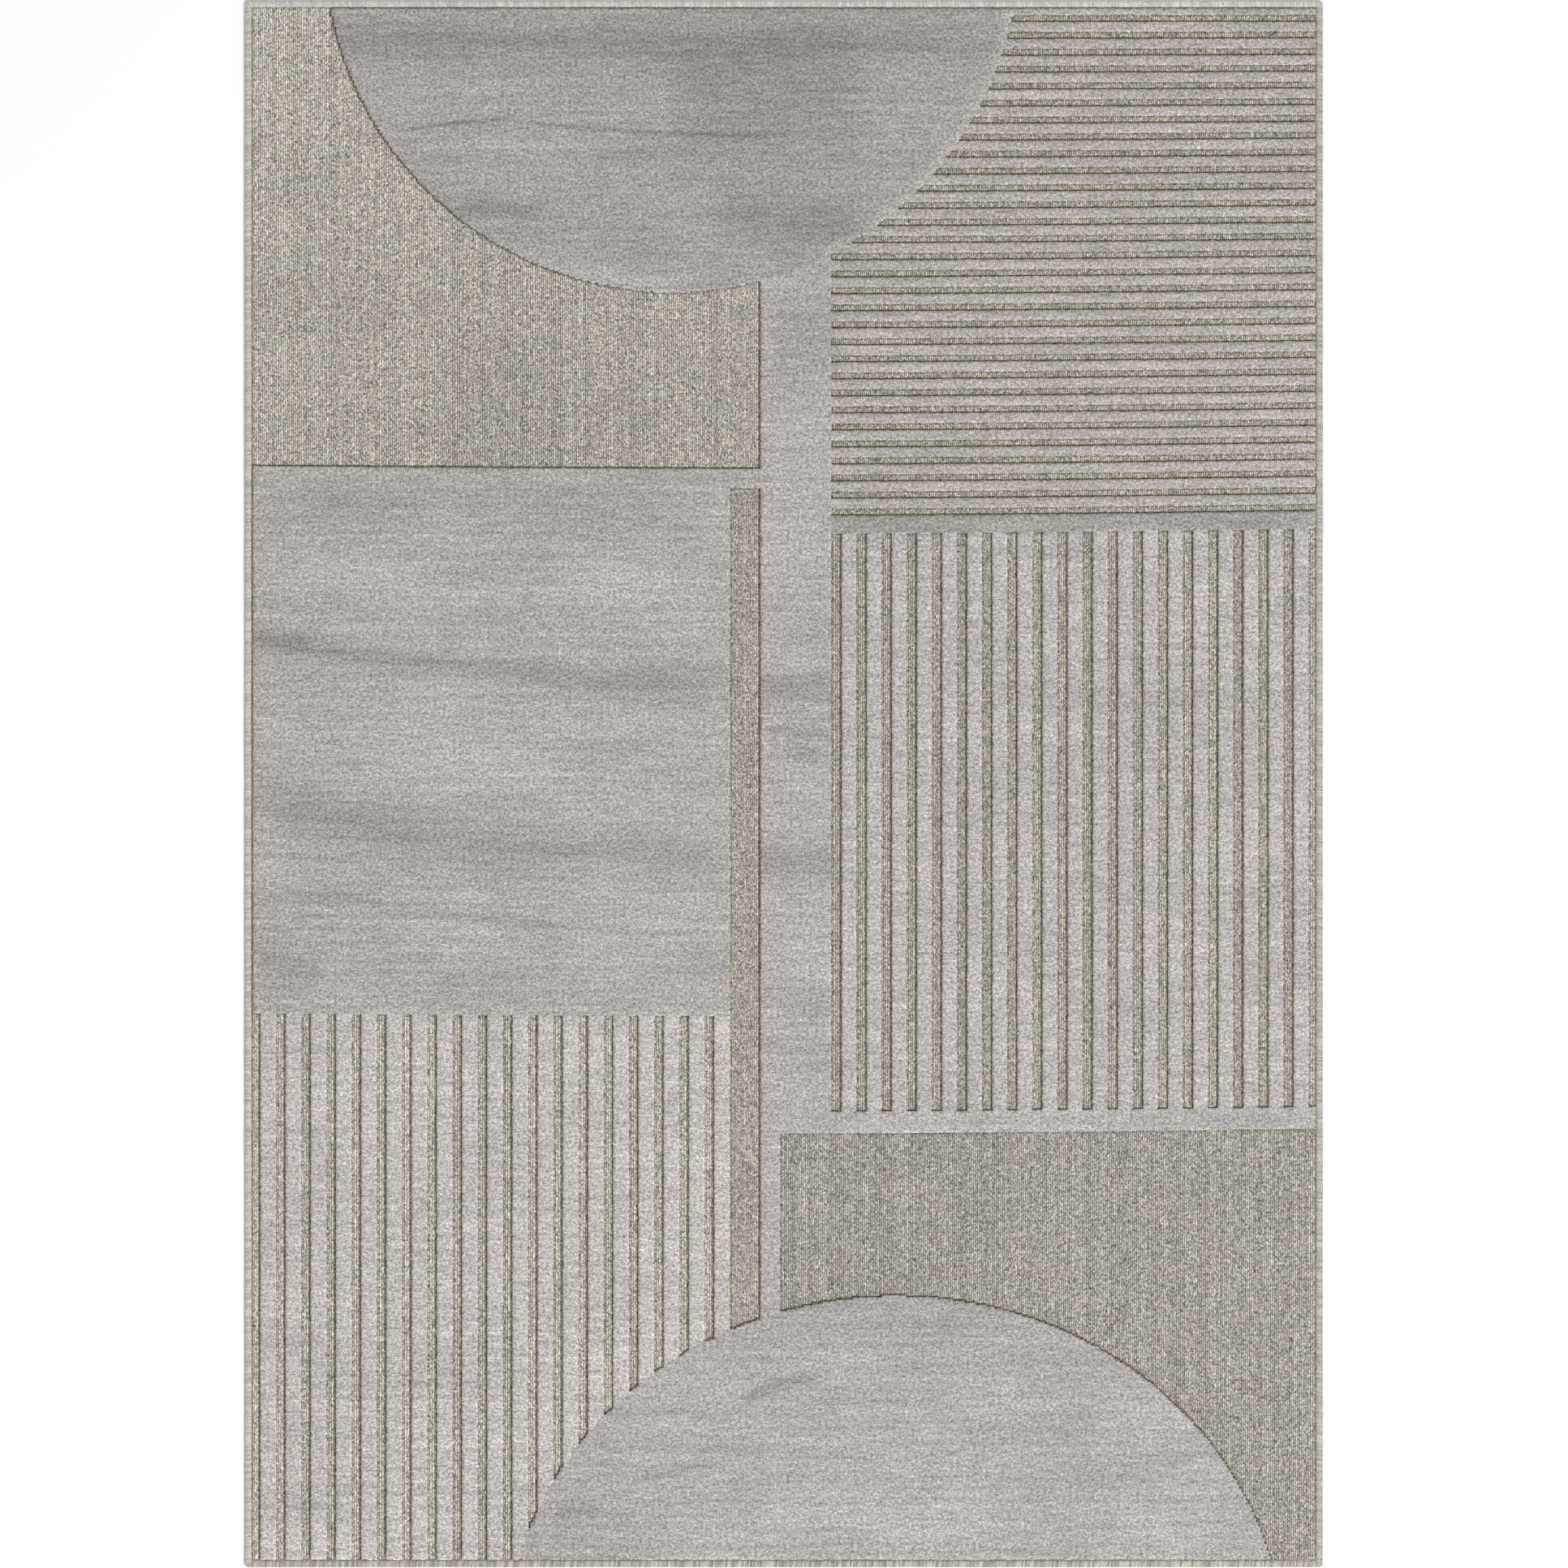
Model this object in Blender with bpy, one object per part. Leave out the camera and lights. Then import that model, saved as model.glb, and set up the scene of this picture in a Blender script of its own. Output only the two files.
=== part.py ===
"""Area rug with a high-low face: flat woven ground and raised cut pile that draws the pattern.

Metres, +Z up. The origin is on the floor under the middle of the rug, +X runs across the width and
+Y along the length. Every part is one closed solid, and touching parts keep FIT_GAP between them.
"""

import math

import bmesh
import bpy

# ---- Driving dimensions ----------------------------------------------------------------------------------------
RUG_WIDTH = 1.600
RUG_LENGTH = 2.325
BINDING_WIDTH = 0.010
CORNER_RADIUS = 0.005
FIT_GAP = 0.0003

# Heights of the layers, each from its underside to its top.
BACK_COAT = (0.0, 0.0012)
BACKING_WEAVE = (0.0015, 0.0030)
FLAT_WEAVE = (0.0033, 0.0048)
PILE = (0.0051, 0.0108)
BINDING_TOP = 0.0066
SEAM_THREAD = (0.0051, 0.0060)
SEAM_THREAD_WIDTH = 0.0012
BINDING_WEB = 0.0026
BINDING_EASE = 0.0008
BINDING_BEND = 0.0018
PILE_ROUNDING = 0.0016

# Weft bow: the woven rows rise towards both long edges and run straight at the two cut ends.
BOW_LEFT = 0.0045
BOW_RIGHT = 0.0075
BOW_CURVE = 1.6
BOW_FADE = 4
BOW_STEP = 0.2

# Ribs: pitch and width of the groove between two of them.
LEFT_PITCH = 0.03740
RIGHT_PITCH = 0.03726
LEVEL_PITCH = 0.02526
LEVEL_GROOVE = 0.0105
RIGHT_GROOVE = 0.0154
LEFT_GROOVE = 0.0139
LEVEL_RIBS = 30
RIGHT_RIBS = 19
LEFT_RIBS = 19
COMB_SPINE = 0.0120

# Half discs at the two ends.
TOP_DISC_CENTRE = (-0.1660, 1.2450)
TOP_DISC_RADIUS = 0.5155
BOTTOM_DISC_CENTRE = (0.1640, -1.2978)
BOTTOM_DISC_RADII = (0.5805, 0.5375)
ARC_STEPS = 56

# Straight edges of the pile areas.
SQUARE_RIGHT = -0.0804
SQUARE_TOP = 0.4677
SQUARE_BOTTOM = -0.3445
ARM_BOTTOM = 0.4390
BAND_LEFT = -0.0352
BAND_RIGHT = 0.0700
BAND_FOOT_RIGHT = -0.0060
UPPER_CROSS = (0.3716, 0.3980)
LOWER_CROSS = (-0.5184, -0.4862)

# Field inside the binding, and inside the seam thread, where the pile stands.
FIELD_X = RUG_WIDTH / 2 - BINDING_WIDTH
FIELD_Y = RUG_LENGTH / 2 - BINDING_WIDTH
PILE_X = FIELD_X - SEAM_THREAD_WIDTH - 2 * FIT_GAP
PILE_Y = FIELD_Y - SEAM_THREAD_WIDTH - 2 * FIT_GAP


# ---- Materials -------------------------------------------------------------------------------------------------
def material(name, colour, roughness):
    made = bpy.data.materials.new(name)
    made.use_nodes = True
    made.diffuse_color = (*colour, 1.0)
    shader = made.node_tree.nodes["Principled BSDF"]
    shader.inputs["Base Color"].default_value = (*colour, 1.0)
    shader.inputs["Roughness"].default_value = roughness
    shader.inputs["Metallic"].default_value = 0.0
    return made


def pile_material():
    return material("cut_pile", (0.43, 0.41, 0.39), 0.95)


def flat_weave_material():
    return material("flat_weave", (0.40, 0.375, 0.33), 0.9)


def binding_material():
    return material("binding_yarn", (0.49, 0.47, 0.42), 0.8)


def seam_material():
    return material("seam_thread", (0.30, 0.27, 0.23), 0.8)


def backing_material():
    return material("jute_backing", (0.35, 0.25, 0.15), 0.95)


def latex_material():
    return material("latex_back_coat", (0.52, 0.49, 0.42), 0.7)


# ---- Outlines --------------------------------------------------------------------------------------------------
def bowed(point):
    """The place where the woven row through this point really runs."""
    x, y = point
    side = BOW_LEFT if x < 0 else BOW_RIGHT
    rise = side * (abs(x) / FIELD_X) ** BOW_CURVE * (1 - (min(abs(y), FIELD_Y) / FIELD_Y) ** BOW_FADE)
    return x, y + rise


def divided(points):
    """The outline with its long edges split, so that each can follow the bow."""
    result = []
    for here, there in zip(points, points[1:] + points[:1]):
        pieces = max(1, math.ceil(abs(there[0] - here[0]) / BOW_STEP))
        for step in range(pieces):
            share = step / pieces
            result.append((here[0] + (there[0] - here[0]) * share, here[1] + (there[1] - here[1]) * share))
    return result


def woven(points):
    return [bowed(point) for point in divided(points)]


def rectangle(left, bottom, right, top):
    return [(left, bottom), (right, bottom), (right, top), (left, top)]


def rounded_rectangle(half_x, half_y, radius, steps=4):
    points = []
    corners = ((1, -1, -90), (1, 1, 0), (-1, 1, 90), (-1, -1, 180))
    for side_x, side_y, start in corners:
        for step in range(steps + 1):
            angle = math.radians(start + 90 * step / steps)
            x = side_x * (half_x - radius) + radius * math.cos(angle)
            y = side_y * (half_y - radius) + radius * math.sin(angle)
            points.append((x, y))
    return points


def top_disc_low(x, radius=TOP_DISC_RADIUS):
    """Height in y of the lower edge of the top half disc at this x."""
    return TOP_DISC_CENTRE[1] - math.sqrt(radius**2 - (x - TOP_DISC_CENTRE[0]) ** 2)


def top_disc_right(y, radius=TOP_DISC_RADIUS):
    """The x of the right-hand edge of the top half disc at this y."""
    return TOP_DISC_CENTRE[0] + math.sqrt(radius**2 - (y - TOP_DISC_CENTRE[1]) ** 2)


def groove_left(y):
    """Where the groove at this height starts: at the centre band or, higher up, at the edge of the top disc."""
    if y <= top_disc_low(BAND_RIGHT):
        return BAND_RIGHT
    return max(BAND_RIGHT, top_disc_right(y))


def top_disc_arc(start_x, end_x, radius, steps):
    """Points along the lower edge of the top half disc, at equal angles."""
    start = math.acos((start_x - TOP_DISC_CENTRE[0]) / radius)
    end = math.acos((end_x - TOP_DISC_CENTRE[0]) / radius)
    angles = [start + (end - start) * step / steps for step in range(steps + 1)]
    return [
        (TOP_DISC_CENTRE[0] + radius * math.cos(a), TOP_DISC_CENTRE[1] - radius * math.sin(a)) for a in angles
    ]


def bottom_disc_high(x, outset=0.0):
    """Height in y of the upper edge of the bottom half disc at this x, or the pile's end where it has none."""
    reach = BOTTOM_DISC_RADII[0] + outset
    across = (x - BOTTOM_DISC_CENTRE[0]) / reach
    if abs(across) >= 1:
        return -PILE_Y
    rise = (BOTTOM_DISC_RADII[1] + outset) * math.sqrt(1 - across**2)
    return max(BOTTOM_DISC_CENTRE[1] + rise, -PILE_Y)


# ---- Solids ----------------------------------------------------------------------------------------------------
def new_object(name, mesh, finish):
    mesh.materials.append(finish)
    made = bpy.data.objects.new(name, mesh)
    bpy.context.scene.collection.objects.link(made)
    return made


def slab(name, outline, heights, finish, rounding=0.0):
    """A solid with this outline, from the low to the high one of two heights, its top rim rounded over."""
    sheet = bmesh.new()
    corners = [sheet.verts.new((x, y, heights[0])) for x, y in outline]
    base = sheet.faces.new(corners)
    grown = bmesh.ops.extrude_face_region(sheet, geom=[base])
    raised = [item for item in grown["geom"] if isinstance(item, bmesh.types.BMVert)]
    bmesh.ops.translate(sheet, verts=raised, vec=(0, 0, heights[1] - heights[0]))
    if rounding:
        lifted = set(raised)
        rim = [edge for edge in sheet.edges if lifted.issuperset(edge.verts)]
        bmesh.ops.bevel(
            sheet, geom=rim, offset=rounding, offset_type="OFFSET", segments=2, profile=0.5, affect="EDGES"
        )
    bmesh.ops.recalc_face_normals(sheet, faces=sheet.faces)
    mesh = bpy.data.meshes.new(name)
    sheet.to_mesh(mesh)
    sheet.free()
    return new_object(name, mesh, finish)


def pile_area(name, outline, finish):
    return slab(name, woven(outline), PILE, finish, PILE_ROUNDING)


# ---- Layers under the pile -------------------------------------------------------------------------------------
def back_coat(finish):
    """The latex coat ends at the inner edge of the binding, whose lower lip lies beside it."""
    inset = BINDING_WIDTH + FIT_GAP
    outline = rounded_rectangle(RUG_WIDTH / 2 - inset, RUG_LENGTH / 2 - inset, CORNER_RADIUS)
    slab("latex_back_coat", outline, BACK_COAT, finish)


def cloth_layer(name, heights, finish):
    """A cloth that reaches into the binding's fold on all four sides."""
    inset = BINDING_WEB + FIT_GAP
    outline = rounded_rectangle(RUG_WIDTH / 2 - inset, RUG_LENGTH / 2 - inset, CORNER_RADIUS)
    slab(name, outline, heights, finish)


# ---- Edge binding ----------------------------------------------------------------------------------------------
def binding_section():
    """Cross-section of the folded binding as (inward distance, height), open towards the rug."""
    lip_low = BACK_COAT[1]
    lip_high = PILE[0]
    return [
        (BINDING_WIDTH, 0.0),
        (BINDING_WIDTH, lip_low),
        (BINDING_WEB, lip_low),
        (BINDING_WEB, lip_high),
        (BINDING_WIDTH, lip_high),
        (BINDING_WIDTH, BINDING_TOP - BINDING_EASE),
        (BINDING_WIDTH - BINDING_EASE, BINDING_TOP),
        (BINDING_BEND, BINDING_TOP),
        (BINDING_BEND * 0.3, BINDING_TOP - BINDING_BEND * 0.6),
        (0.0, BINDING_TOP / 2),
        (BINDING_BEND * 0.3, BINDING_BEND * 0.5),
        (BINDING_BEND, 0.0),
    ]


def binding_run(name, length, place, finish):
    """One side's binding, mitred at both ends, its outer edge following the rug's rounded corners.

    place turns (distance along, inward distance, height) into a point of the rug.
    """
    half = length / 2
    straight = half - CORNER_RADIUS
    turn = [math.radians(45 * step / 2) for step in range(3)]
    # Distance past the straight stretch, and how far the outer edge has drawn in by then.
    bends = [(CORNER_RADIUS * math.sin(a), CORNER_RADIUS * (1 - math.cos(a))) for a in turn]
    stations = [(-straight - past, drawn) for past, drawn in reversed(bends)]
    stations += [(straight + past, drawn) for past, drawn in bends]
    end = stations[-1][0]
    run = bmesh.new()
    rings = []
    for position, drawn in stations:
        ring = []
        for inward, height in binding_section():
            depth = inward + drawn * max(0.0, 1 - inward / BINDING_BEND)
            reach = half - depth - FIT_GAP
            along = reach if abs(position) == end else min(abs(position), reach)
            ring.append(run.verts.new(place(math.copysign(along, position), depth, height)))
        rings.append(ring)
    for first, second in zip(rings, rings[1:]):
        for index, corner in enumerate(first):
            after = (index + 1) % len(first)
            run.faces.new((corner, first[after], second[after], second[index]))
    run.faces.new(rings[0])
    run.faces.new(rings[-1])
    bmesh.ops.remove_doubles(run, verts=run.verts, dist=0.00001)
    bmesh.ops.recalc_face_normals(run, faces=run.faces)
    mesh = bpy.data.meshes.new(name)
    run.to_mesh(mesh)
    run.free()
    new_object(name, mesh, finish)


def bindings(finish):
    half_x = RUG_WIDTH / 2
    half_y = RUG_LENGTH / 2
    binding_run("binding_left", RUG_LENGTH, lambda along, depth, z: (depth - half_x, along, z), finish)
    binding_run("binding_right", RUG_LENGTH, lambda along, depth, z: (half_x - depth, along, z), finish)
    binding_run("binding_bottom", RUG_WIDTH, lambda along, depth, z: (along, depth - half_y, z), finish)
    binding_run("binding_top", RUG_WIDTH, lambda along, depth, z: (along, half_y - depth, z), finish)


def seam_threads(finish):
    """The needle thread of the overlock stitch lies on the flat weave along each binding's inner edge."""
    outer_x = FIELD_X - FIT_GAP
    outer_y = FIELD_Y - FIT_GAP
    inner_x = outer_x - SEAM_THREAD_WIDTH
    inner_y = outer_y - SEAM_THREAD_WIDTH
    end_y = inner_y - FIT_GAP
    outlines = {
        "seam_thread_left": rectangle(-outer_x, -end_y, -inner_x, end_y),
        "seam_thread_right": rectangle(inner_x, -end_y, outer_x, end_y),
        "seam_thread_bottom": rectangle(-outer_x, -outer_y, outer_x, -inner_y),
        "seam_thread_top": rectangle(-outer_x, inner_y, outer_x, outer_y),
    }
    for name, outline in outlines.items():
        slab(name, outline, SEAM_THREAD, finish, 0.0003)


# ---- Pile areas ------------------------------------------------------------------------------------------------
def spine_left():
    """Left edge of the comb's spine, which is cut out of the centre band and the top half disc."""
    return BAND_RIGHT - COMB_SPINE


def top_half_disc(finish):
    """The half disc, stepped in where the spine of the horizontal ribs follows its right-hand edge."""
    end = PILE_Y
    step_x = spine_left() - FIT_GAP
    inner = TOP_DISC_RADIUS - COMB_SPINE - FIT_GAP
    left_x = 2 * TOP_DISC_CENTRE[0] - top_disc_right(end)
    outline = top_disc_arc(left_x, step_x, TOP_DISC_RADIUS, ARC_STEPS)
    outline += top_disc_arc(step_x, top_disc_right(end, inner), inner, ARC_STEPS // 2)
    pile_area("pile_top_half_disc", outline, finish)


def left_square(finish):
    """The square, with the short arm that reaches the centre band along its top edge."""
    arm_end = BAND_LEFT - FIT_GAP
    outline = [
        (-PILE_X, SQUARE_BOTTOM),
        (SQUARE_RIGHT, SQUARE_BOTTOM),
        (SQUARE_RIGHT, ARM_BOTTOM),
        (arm_end, ARM_BOTTOM),
        (arm_end, SQUARE_TOP),
        (-PILE_X, SQUARE_TOP),
    ]
    pile_area("pile_left_square", outline, finish)


def centre_band(finish):
    """The upright band: wide from the top disc to the lower cross band, and narrow on down to the bottom disc."""
    right = BAND_RIGHT - FIT_GAP
    beside_spine = spine_left() - FIT_GAP
    foot_top = LOWER_CROSS[1]
    steps = 4
    feet = [BAND_FOOT_RIGHT + (BAND_LEFT - BAND_FOOT_RIGHT) * step / steps for step in range(steps + 1)]
    outline = top_disc_arc(BAND_LEFT, beside_spine, TOP_DISC_RADIUS + FIT_GAP, steps)
    outline += [(beside_spine, UPPER_CROSS[1]), (right, UPPER_CROSS[1]), (right, foot_top)]
    outline += [(BAND_FOOT_RIGHT, foot_top)]
    outline += [(x, bottom_disc_high(x, FIT_GAP)) for x in feet]
    pile_area("pile_centre_band", outline, finish)


def cross_bands(finish):
    upper = rectangle(BAND_RIGHT, UPPER_CROSS[0], PILE_X, UPPER_CROSS[1])
    left = BAND_FOOT_RIGHT + FIT_GAP
    high = LOWER_CROSS[1] - FIT_GAP
    lower = rectangle(left, LOWER_CROSS[0], PILE_X, high)
    pile_area("pile_upper_cross_band", upper, finish)
    pile_area("pile_lower_cross_band", lower, finish)


def bottom_half_disc(finish):
    centre_x, centre_y = BOTTOM_DISC_CENTRE
    across, along = BOTTOM_DISC_RADII
    start = math.asin((-PILE_Y - centre_y) / along)
    sweep = math.pi - 2 * start
    outline = []
    for step in range(ARC_STEPS + 1):
        angle = start + sweep * step / ARC_STEPS
        outline.append((centre_x + across * math.cos(angle), centre_y + along * math.sin(angle)))
    pile_area("pile_bottom_half_disc", outline, finish)


def horizontal_rib_comb(finish):
    """The horizontal ribs, joined by a spine that follows the centre band and then the edge of the top disc."""
    left = spine_left()
    inner = TOP_DISC_RADIUS - COMB_SPINE
    foot = UPPER_CROSS[1] + FIT_GAP
    outline = [(left, foot), (BAND_RIGHT, foot)]
    for index in range(LEVEL_RIBS):
        groove_low = UPPER_CROSS[1] + LEVEL_PITCH * index
        rib_low = groove_low + LEVEL_GROOVE
        rib_high = min(groove_low + LEVEL_PITCH, PILE_Y)
        if index:
            outline.append((groove_left(groove_low), groove_low))
        outline.append((groove_left(rib_low), rib_low))
        outline.append((PILE_X, rib_low))
        outline.append((PILE_X, rib_high))
    outline += top_disc_arc(top_disc_right(PILE_Y, inner), left, inner, ARC_STEPS // 2)
    pile_area("pile_horizontal_rib_comb", outline, finish)


def right_ribs(finish):
    for index in range(RIGHT_RIBS):
        left = BAND_RIGHT + RIGHT_GROOVE + RIGHT_PITCH * index
        right = BAND_RIGHT + RIGHT_PITCH * (index + 1)
        outline = rectangle(left, LOWER_CROSS[1] + FIT_GAP, right, UPPER_CROSS[0] - FIT_GAP)
        pile_area(f"pile_right_rib_{index + 1:02d}", outline, finish)


def left_ribs(finish):
    """The ribs below the square. The ones on the right stop at the bottom half disc."""
    high = SQUARE_BOTTOM - FIT_GAP
    steps = 4
    for index in range(LEFT_RIBS):
        right = SQUARE_RIGHT - LEFT_PITCH * (LEFT_RIBS - 1 - index)
        left = right - LEFT_PITCH + LEFT_GROOVE
        across = [left + (right - left) * step / steps for step in range(steps + 1)]
        feet = [(x, bottom_disc_high(x, FIT_GAP)) for x in across]
        if feet[0][1] == feet[-1][1]:
            feet = [feet[0], feet[-1]]
        outline = [*feet, (right, high), (left, high)]
        pile_area(f"pile_left_rib_{index + 1:02d}", outline, finish)


# ---- Assembly --------------------------------------------------------------------------------------------------
def clear_scene():
    for old in list(bpy.data.objects):
        bpy.data.objects.remove(old, do_unlink=True)


def build():
    clear_scene()
    back_coat(latex_material())
    cloth_layer("backing_weave", BACKING_WEAVE, backing_material())
    cloth_layer("flat_weave_face", FLAT_WEAVE, flat_weave_material())
    bindings(binding_material())
    seam_threads(seam_material())
    pile = pile_material()
    top_half_disc(pile)
    left_square(pile)
    centre_band(pile)
    cross_bands(pile)
    bottom_half_disc(pile)
    horizontal_rib_comb(pile)
    right_ribs(pile)
    left_ribs(pile)


build()
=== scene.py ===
"""Visual model of the area rug: flat weave, cut pile, overlocked binding, seam thread and backing.

Everything is in metres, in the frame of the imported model: +X across the rug, +Y along it, +Z up.
"""

import math

import bpy
import numpy as np
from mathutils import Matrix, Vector


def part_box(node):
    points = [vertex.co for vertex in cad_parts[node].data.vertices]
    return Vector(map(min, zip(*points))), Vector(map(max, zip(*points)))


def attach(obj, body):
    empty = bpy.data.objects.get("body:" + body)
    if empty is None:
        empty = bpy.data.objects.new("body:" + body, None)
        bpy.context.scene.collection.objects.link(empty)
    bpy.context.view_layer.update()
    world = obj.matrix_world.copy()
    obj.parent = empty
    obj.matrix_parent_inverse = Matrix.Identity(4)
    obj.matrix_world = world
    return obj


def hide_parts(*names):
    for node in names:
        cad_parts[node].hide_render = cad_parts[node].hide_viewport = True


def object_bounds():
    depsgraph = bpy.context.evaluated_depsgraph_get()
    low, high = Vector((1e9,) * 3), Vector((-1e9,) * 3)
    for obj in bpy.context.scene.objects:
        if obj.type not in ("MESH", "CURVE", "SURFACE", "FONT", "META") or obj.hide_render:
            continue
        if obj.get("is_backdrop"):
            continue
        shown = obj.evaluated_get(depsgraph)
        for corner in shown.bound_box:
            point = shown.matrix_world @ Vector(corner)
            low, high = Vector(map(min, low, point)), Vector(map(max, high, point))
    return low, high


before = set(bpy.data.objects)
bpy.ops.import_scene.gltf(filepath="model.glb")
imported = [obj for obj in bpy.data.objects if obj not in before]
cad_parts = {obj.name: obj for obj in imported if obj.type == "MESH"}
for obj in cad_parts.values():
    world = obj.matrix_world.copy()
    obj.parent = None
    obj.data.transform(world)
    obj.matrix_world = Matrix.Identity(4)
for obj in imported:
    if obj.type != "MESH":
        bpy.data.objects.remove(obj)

CAD_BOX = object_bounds()
RANDOM = np.random.default_rng(20)

# ---- Design values of the rug --------------------------------------------------------------------
RUG_WIDTH = 1.600
RUG_LENGTH = 2.325
BINDING_WIDTH = 0.010
CORNER_RADIUS = 0.005
BINDING_TOP = 0.0066
BINDING_WEB = 0.0026
BACK_COAT_TOP = 0.0012
SEAM_THREAD_WIDTH = 0.0012
FIT_GAP = 0.0003

BOW_LEFT = 0.0045
BOW_RIGHT = 0.0075
BOW_CURVE = 1.6
BOW_FADE = 4

LEFT_PITCH = 0.03740
RIGHT_PITCH = 0.03726
LEVEL_PITCH = 0.02526
LEVEL_GROOVE = 0.0105
RIGHT_GROOVE = 0.0154
LEFT_GROOVE = 0.0139
LEVEL_RIBS = 30
RIGHT_RIBS = 19
LEFT_RIBS = 19
COMB_SPINE = 0.0120

TOP_DISC_CENTRE = (-0.1660, 1.2450)
TOP_DISC_RADIUS = 0.5155
BOTTOM_DISC_CENTRE = (0.1640, -1.2978)
BOTTOM_DISC_RADII = (0.5805, 0.5375)

SQUARE_RIGHT = -0.0804
SQUARE_TOP = 0.4677
SQUARE_BOTTOM = -0.3445
ARM_BOTTOM = 0.4390
BAND_LEFT = -0.0352
BAND_RIGHT = 0.0700
BAND_FOOT_RIGHT = -0.0060
UPPER_CROSS = (0.3716, 0.3980)
LOWER_CROSS = (-0.5184, -0.4862)

FIELD_X = RUG_WIDTH / 2 - BINDING_WIDTH
FIELD_Y = RUG_LENGTH / 2 - BINDING_WIDTH
PILE_X = FIELD_X - SEAM_THREAD_WIDTH - 2 * FIT_GAP
PILE_Y = FIELD_Y - SEAM_THREAD_WIDTH - 2 * FIT_GAP
TUCK = 0.0033  # how far the ground shows past the pile, under the seam thread and the binding's lip

# ---- Cloth ---------------------------------------------------------------------------------------
REED = LEFT_PITCH / 12  # between two warp ends
ROW = 0.0029  # between two weft rows
GROUND_LOW = 0.0042
GROUND_GAP = 0.0046  # height of the hollows between floats
GAP_SHIFT = 0.00006  # unevenness of the hollows' height
FLOAT_RISE = 0.0005  # of a float's middle over the hollows
FLOAT_SHARES = (0.55, 1.45)  # least and most of that rise, from float to float
FLOAT_SHIFT = (0.0003, 0.0002)  # unevenness of the floats' middles in x and y
SHADOWED_RISE = 0.4  # share of its rise that a float beside the pile keeps
PILE_FOOT = 0.0043
PILE_TOP = 0.0104
PILE_WAIST = 0.0076
PILE_GRAIN = 0.00030  # unevenness of the tips' height
TIP_SHIFT = (0.00028, 0.00024)  # unevenness of the tips in x and y
WAIST_SHIFT = 0.0005  # unevenness of the waist's height
RIM_DROP = 0.0011
RIM_DROP_SHARES = (0.7, 1.3)  # least and most of that drop, from tip to tip
RIM_INSET = 0.0002  # how far the tips of a rim stay inside the pile's edge
RIM_FLARE = (0.0005, 0.00035)  # how far the waist of a rim stands out, and how unevenly
WRAP = 0.0025  # pitch of the binding's wraps
WRAP_SWELL = 0.00035
WRAP_SLANT = 0.12
WRAP_WANDER = 0.00012  # how far the edge strays from straight
WANDER_KNOTS = 60
STITCH = 0.0050  # pitch of the seam's stitches
# Half width, half depth and height of a stitch: at its holes, and what its middle adds.
STITCH_WIDTH = (0.00036, 0.00022)
STITCH_DEPTH = (0.00018, 0.00016)
STITCH_LEVEL = (0.00535, 0.0004)
MITRE_ZONE = 0.012  # length at each end over which the wraps turn into the mitre
MITRE_GAP = 0.00003
SHEET_STEP = 0.05
SHEET_GAP = 0.0001
FLOOR_DROP = 0.0002

# ---- Shades --------------------------------------------------------------------------------------
# Painted light, as one number a point: 0 is the yarn's own colour, 1 the painted shade at the pile's
# foot, and less than 0 a painted highlight on a lit tip.
LIT_RIM = 0.3
LIT_TONE = 1.14  # how much brighter a lit tip is
SHADED_TIP = 0.28
WAIST_SHADE = (0.50, 0.90)
FOOT_SHADE = 1.0
LIT_WAIST_SHADE = 0.25
LIT_FOOT_SHADE = 0.60
LINE_SHADE = 0.15  # least shade of the floats in the shadow of upright pile
LEVEL_LINE_SHADE = 0.50  # and of level pile
END_SHADE = 0.70  # of floats under the end of a rib
END_SHARE = 0.60
TICK_SHADE = 0.85  # of floats on the lit side of the pile
TICK_SHARE = 0.30
LIP_SHADE = 0.25  # of the binding's inner edge
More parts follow.
